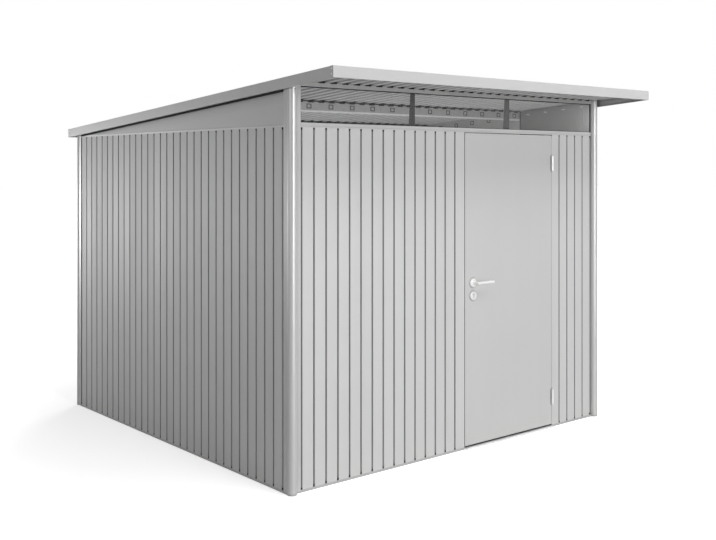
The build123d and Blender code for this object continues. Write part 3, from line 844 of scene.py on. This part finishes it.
def addShadeSheets():
    # Dark sheets behind the window's ends, from the front post to the front purlin, with lanced
    # slots: painted shade on the gables' inner faces there, and a dark strip at their rear edge as
    # the painted shadow line by the purlin.
    sheets, edges, slots = bmesh.new(), bmesh.new(), bmesh.new()
    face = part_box("gable_inner_right")[0].x
    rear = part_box("purlin_front")[0].y - shadeSheet["purlinGap"]
    front, tongueEnd, foot, gap = shadeSheet["front"], shadeSheet["tongueEnd"], shadeSheet["foot"], shadeSheet["roofGap"]
    low, high = shadeSheet["tongue"]
    after = rear + shadeSheet["edge"]
    tongue = [(front, low), (tongueEnd, low), (tongueEnd, high), (front, high)]
    sheet = [
        (tongueEnd, foot), (rear, foot),
        (rear, roofFace(rear) - gap), (tongueEnd, roofFace(tongueEnd) - gap),
    ]
    edge = [
        (rear, foot), (after, foot),
        (after, roofFace(after) - gap), (rear, roofFace(rear) - gap),
    ]
    width, rise = shadeSheet["slotSize"]
    sheetTop, edgeTop = face - shadeSheet["thickness"], face - shadeSheet["edgeProud"]
    for sign in (-1, 1):
        slopedPlate(sheets, sign * (face - overlap), sign * sheetTop, tongue)
        slopedPlate(sheets, sign * (face - overlap), sign * sheetTop, sheet)
        slopedPlate(edges, sign * (face - overlap), sign * edgeTop, edge)
        for number in range(shadeSheet["slotCount"]):
            y = shadeSheet["slotFirst"] + number * shadeSheet["slotPitch"]
            level = roofFace(y) - shadeSheet["slotDrop"]
            slot = [
                (y - width / 2, level), (y + width / 2, level),
                (y + width / 2 - rise, level + rise), (y - width / 2 + rise, level + rise),
            ]
            slopedPlate(slots, sign * (sheetTop + overlap), sign * edgeTop, slot)
    newPiece("gable_shade_sheets", sheets, "shed", paintedShadeSheet)
    newPiece("shade_sheet_edges", edges, "shed", rubberAndPaintedShade)
    newPiece("shade_sheet_slots", slots, "shed", looks["trim_paint"])


addCoverShadowStrips()
addShadeSheets()


def addGrooveEndShades():
    # Dark blocks at the foot and the head of each groove of the walls: painted shade in the
    # grooves' open ends.
    mesh = bmesh.new()
    wallLow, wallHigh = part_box("wall_left")[0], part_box("wall_right")[1]
    height, count = grooveEndShades["height"], grooveEndShades["count"]
    levels = ((wallLow.z, wallLow.z + height), (wallHigh.z - height, wallHigh.z))
    near, far = grooveEndShades["depth"]
    half = grooveEndShades["width"] / 2
    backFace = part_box("wall_back")[1].y
    doorLow, doorHigh = (corner.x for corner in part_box("door_leaf"))
    clear = grooveEndShades["doorClear"]

    def shadeBlock(x0, x1, y0, y1):
        for low, high in levels:
            middle = ((x0 + x1) / 2, (y0 + y1) / 2, (low + high) / 2)
            block(mesh, (x1 - x0, y1 - y0, high - low), middle)

    for side, (first, last) in grooveEndShades["spans"].items():
        for number in range(count + 1):
            along = first + (last - first) * number / count
            if side == "side":
                shadeBlock(wallLow.x + near, wallLow.x + far, along - half, along + half)
                shadeBlock(wallHigh.x - far, wallHigh.x - near, along - half, along + half)
            elif side == "back":
                shadeBlock(along - half, along + half, backFace - far, backFace - near)
            elif not doorLow - clear < along < doorHigh + clear:
                shadeBlock(along - half, along + half, frontWall + near, frontWall + far)
    newPiece("groove_end_shades", mesh, "shed", rubberAndPaintedShade)


addGrooveEndShades()


def strips(name, boxes, body, material, roundness):
    # Straight strips and beads, each with rounded long edges.
    mesh = bmesh.new()
    for low, high in boxes:
        size = [after - before for before, after in zip(low, high)]
        middle = [(after + before) / 2 for before, after in zip(low, high)]
        made = block(mesh, size, middle)
        axis = size.index(max(size))
        edges = [
            edge for edge in {edge for vert in made for edge in vert.link_edges}
            if abs((edge.verts[0].co - edge.verts[1].co)[axis]) > size[axis] / 2
        ]
        edges.sort(key=lambda edge: tuple(edge.verts[0].co) + tuple(edge.verts[1].co))
        bmesh.ops.bevel(
            mesh, geom=edges, offset=roundness, offset_type="OFFSET", segments=2,
            profile=0.5, affect="EDGES", material=-1,
        )
    newPiece(name, mesh, body, material)


leafLow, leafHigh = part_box("door_leaf")
hingeLow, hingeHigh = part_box("hinge_frame_sides")
caseLow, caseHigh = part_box("lock_case")
jambX = leafHigh.x + seal["gap"]
sealFront = leafLow.y + seal["inset"]
lowerTop, upperFoot = hingeLow.z + seal["hinge"], hingeHigh.z - seal["hinge"]
spans = ((leafLow.z, hingeLow.z), (lowerTop, upperFoot), (hingeHigh.z, leafHigh.z))
hingeStrips = []
for low, high in spans:
    hingeStrips.append((
        (jambX - seal["hingeWidth"], sealFront, low + seal["endGap"]),
        (jambX - overlap, sealFront + seal["hingeDepth"], high - seal["endGap"]),
    ))
strips("hinge_side_seal", hingeStrips, "shed", looks["trim_paint"], seal["round"])
# Dark rubber strips on the leaf's lock-side edge and a sweep under its foot: painted shade in the
# door's side and bottom gaps.
gapShadeStrips = []
for low, high in ((leafLow.z, caseLow.z), (caseHigh.z, leafHigh.z)):
    gapShadeStrips.append((
        (leafLow.x - seal["edgeRise"], sealFront, low + seal["edgeGap"]),
        (leafLow.x + overlap, leafLow.y + seal["edgeDepth"], high - seal["edgeGap"]),
    ))
sweepFront, sweepRear = (leafLow.y + depth for depth in seal["sweepDepth"])
gapShadeStrips.append((
    (leafLow.x + seal["endGap"], sweepFront, leafLow.z - seal["sweepRise"]),
    (leafHigh.x - seal["endGap"], sweepRear, leafLow.z + seal["sweepLap"]),
))
strips("leaf_gap_shade_strips", gapShadeStrips, "door", rubberAndPaintedShade, seal["edgeRound"])
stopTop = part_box("door_jambs")[1].z - seal["stopHead"]
stopFace = leafLow.y + seal["stopDepth"]
stopStrips = []
for x, sign in ((leafLow.x - seal["gap"], 1), (leafHigh.x + seal["gap"], -1)):
    near, far = sorted(x + sign * across for across in seal["stopSpan"])
    stopStrips.append((
        (near, stopFace - seal["stopRise"], seal["stopFoot"]), (far, stopFace + overlap, stopTop),
    ))
strips("jamb_stop_seals", stopStrips, "shed", rubberAndPaintedShade, seal["round"])

shadowStrips, beads = [], []
for name in ("purlin_front", "purlin_rear"):
    low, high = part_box(name)
    shadowStrips.append((
        (low.x, low.y - purlinShadowStrip["depth"], high.z - purlinShadowStrip["height"]),
        (high.x, low.y + overlap, high.z - purlinShadowStrip["drop"]),
    ))
    beads.append((
        (low.x, low.y - purlinHighlightBead["depth"], low.z),
        (high.x, low.y + overlap, low.z + purlinHighlightBead["height"]),
    ))
# Dark strips along the top of each purlin's front face: painted shadow under the roof sheet.
strips("purlin_shadow_strips", shadowStrips, "shed", rubberAndPaintedShade, purlinShadowStrip["round"])
# Bright metal beads along the foot of each purlin's front face: painted highlight on the purlins'
# lower edges.
sillMetal = looks["sill_metal"]
strips("purlin_highlight_beads", beads, "shed", sillMetal, purlinHighlightBead["round"])
paneLow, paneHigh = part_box("window_pane")
face, proud = paneLow.y + overlap, paneLow.y - gasket["proud"]
low, high = paneLow.z + gasket["foot"], paneHigh.z - gasket["top"]
strips("pane_gasket", [
    ((paneLow.x, proud, high), (paneHigh.x, face, paneHigh.z)),
    ((paneLow.x, proud, paneLow.z), (paneHigh.x, face, low)),
    ((paneLow.x, proud, low), (paneLow.x + gasket["end"], face, high)),
    ((paneHigh.x - gasket["end"], proud, low), (paneHigh.x, face, high)),
], "shed", rubberAndPaintedShade, gasket["round"])

print("stage: floor and lamps")
floorMesh = bmesh.new()
bmesh.ops.create_grid(floorMesh, x_segments=8, y_segments=8, size=studio["floorSize"])
floorData = bpy.data.meshes.new("studioFloor")
floorMesh.to_mesh(floorData)
floorMesh.free()
floor = bpy.data.objects.new("studioFloor", floorData)
bpy.context.scene.collection.objects.link(floor)
material, tree, shader = newMaterial("floorPale")
shader.inputs["Base Color"].default_value = (*studio["floorColour"], 1.0)
shader.inputs["Roughness"].default_value = studio["floorRough"]
shader.inputs["Specular IOR Level"].default_value = studio["floorSpecular"]
paths = tree.nodes.new("ShaderNodeLightPath")
shader.inputs["Emission Color"].default_value = (1.0, 1.0, 1.0, 1.0)
coords = tree.nodes.new("ShaderNodeTexCoord")
away = tree.nodes.new("ShaderNodeVectorMath")
away.operation = "LENGTH"
tree.links.new(coords.outputs["Object"], away.inputs[0])
fade = tree.nodes.new("ShaderNodeMapRange")
fade.interpolation_type = "SMOOTHSTEP"
fadeStart, fadeEnd = studio["floorFade"]
fade.inputs["From Min"].default_value = fadeStart
fade.inputs["From Max"].default_value = fadeEnd
fade.inputs["To Min"].default_value = studio["floorLift"]
tree.links.new(away.outputs["Value"], fade.inputs["Value"])
lift = mathNode(tree, "MULTIPLY", paths.outputs["Is Camera Ray"], fade.outputs["Result"])
mirrored = mathNode(tree, "MULTIPLY", paths.outputs["Is Glossy Ray"], studio["floorMirror"])
tree.links.new(mathNode(tree, "ADD", lift, mirrored), shader.inputs["Emission Strength"])
floorData.materials.append(material)

world = bpy.data.worlds.new("studioWorld")
bpy.context.scene.world = world
world.use_nodes = True
tree = world.node_tree
background = tree.nodes["Background"]
background.inputs["Color"].default_value = (1.0, 1.0, 1.0, 1.0)
paths = tree.nodes.new("ShaderNodeLightPath")
cameraRay, passedRay = paths.outputs["Is Camera Ray"], paths.outputs["Is Transmission Ray"]
seen = mathNode(tree, "ADD", cameraRay, passedRay, clamp=True)
lift = mathNode(tree, "MULTIPLY", seen, studio["backdrop"] - studio["fill"])
coords = tree.nodes.new("ShaderNodeTexCoord")
level = studio["mirrored"] - studio["fill"]
for side, focus, strength in studio["cards"]:
    card = tree.nodes.new("ShaderNodeVectorMath")
    card.operation = "DOT_PRODUCT"
    card.inputs[1].default_value = Vector(side).normalized()
    tree.links.new(coords.outputs["Generated"], card.inputs[0])
    toward = mathNode(tree, "MAXIMUM", card.outputs["Value"], 0.0)
    glow = mathNode(tree, "MULTIPLY", mathNode(tree, "POWER", toward, focus), strength)
    level = mathNode(tree, "ADD", glow, level)
mirrored = mathNode(tree, "MULTIPLY", paths.outputs["Is Glossy Ray"], level)
lift = mathNode(tree, "MAXIMUM", lift, mirrored)
tree.links.new(mathNode(tree, "ADD", lift, studio["fill"]), background.inputs["Strength"])


def addLamp(name, settings):
    data = bpy.data.lights.new(name, "AREA")
    data.shape = "RECTANGLE"
    data.size, data.size_y = settings["size"]
    data.energy = settings["power"]
    lamp = bpy.data.objects.new(name, data)
    lamp.visible_camera = False
    lamp.location = settings["place"]
    aim = Vector(settings["aim"]) - Vector(settings["place"])
    lamp.rotation_euler = aim.to_track_quat("-Z", "Y").to_euler()
    bpy.context.scene.collection.objects.link(lamp)


for name, settings in lamps.items():
    addLamp(name, settings)
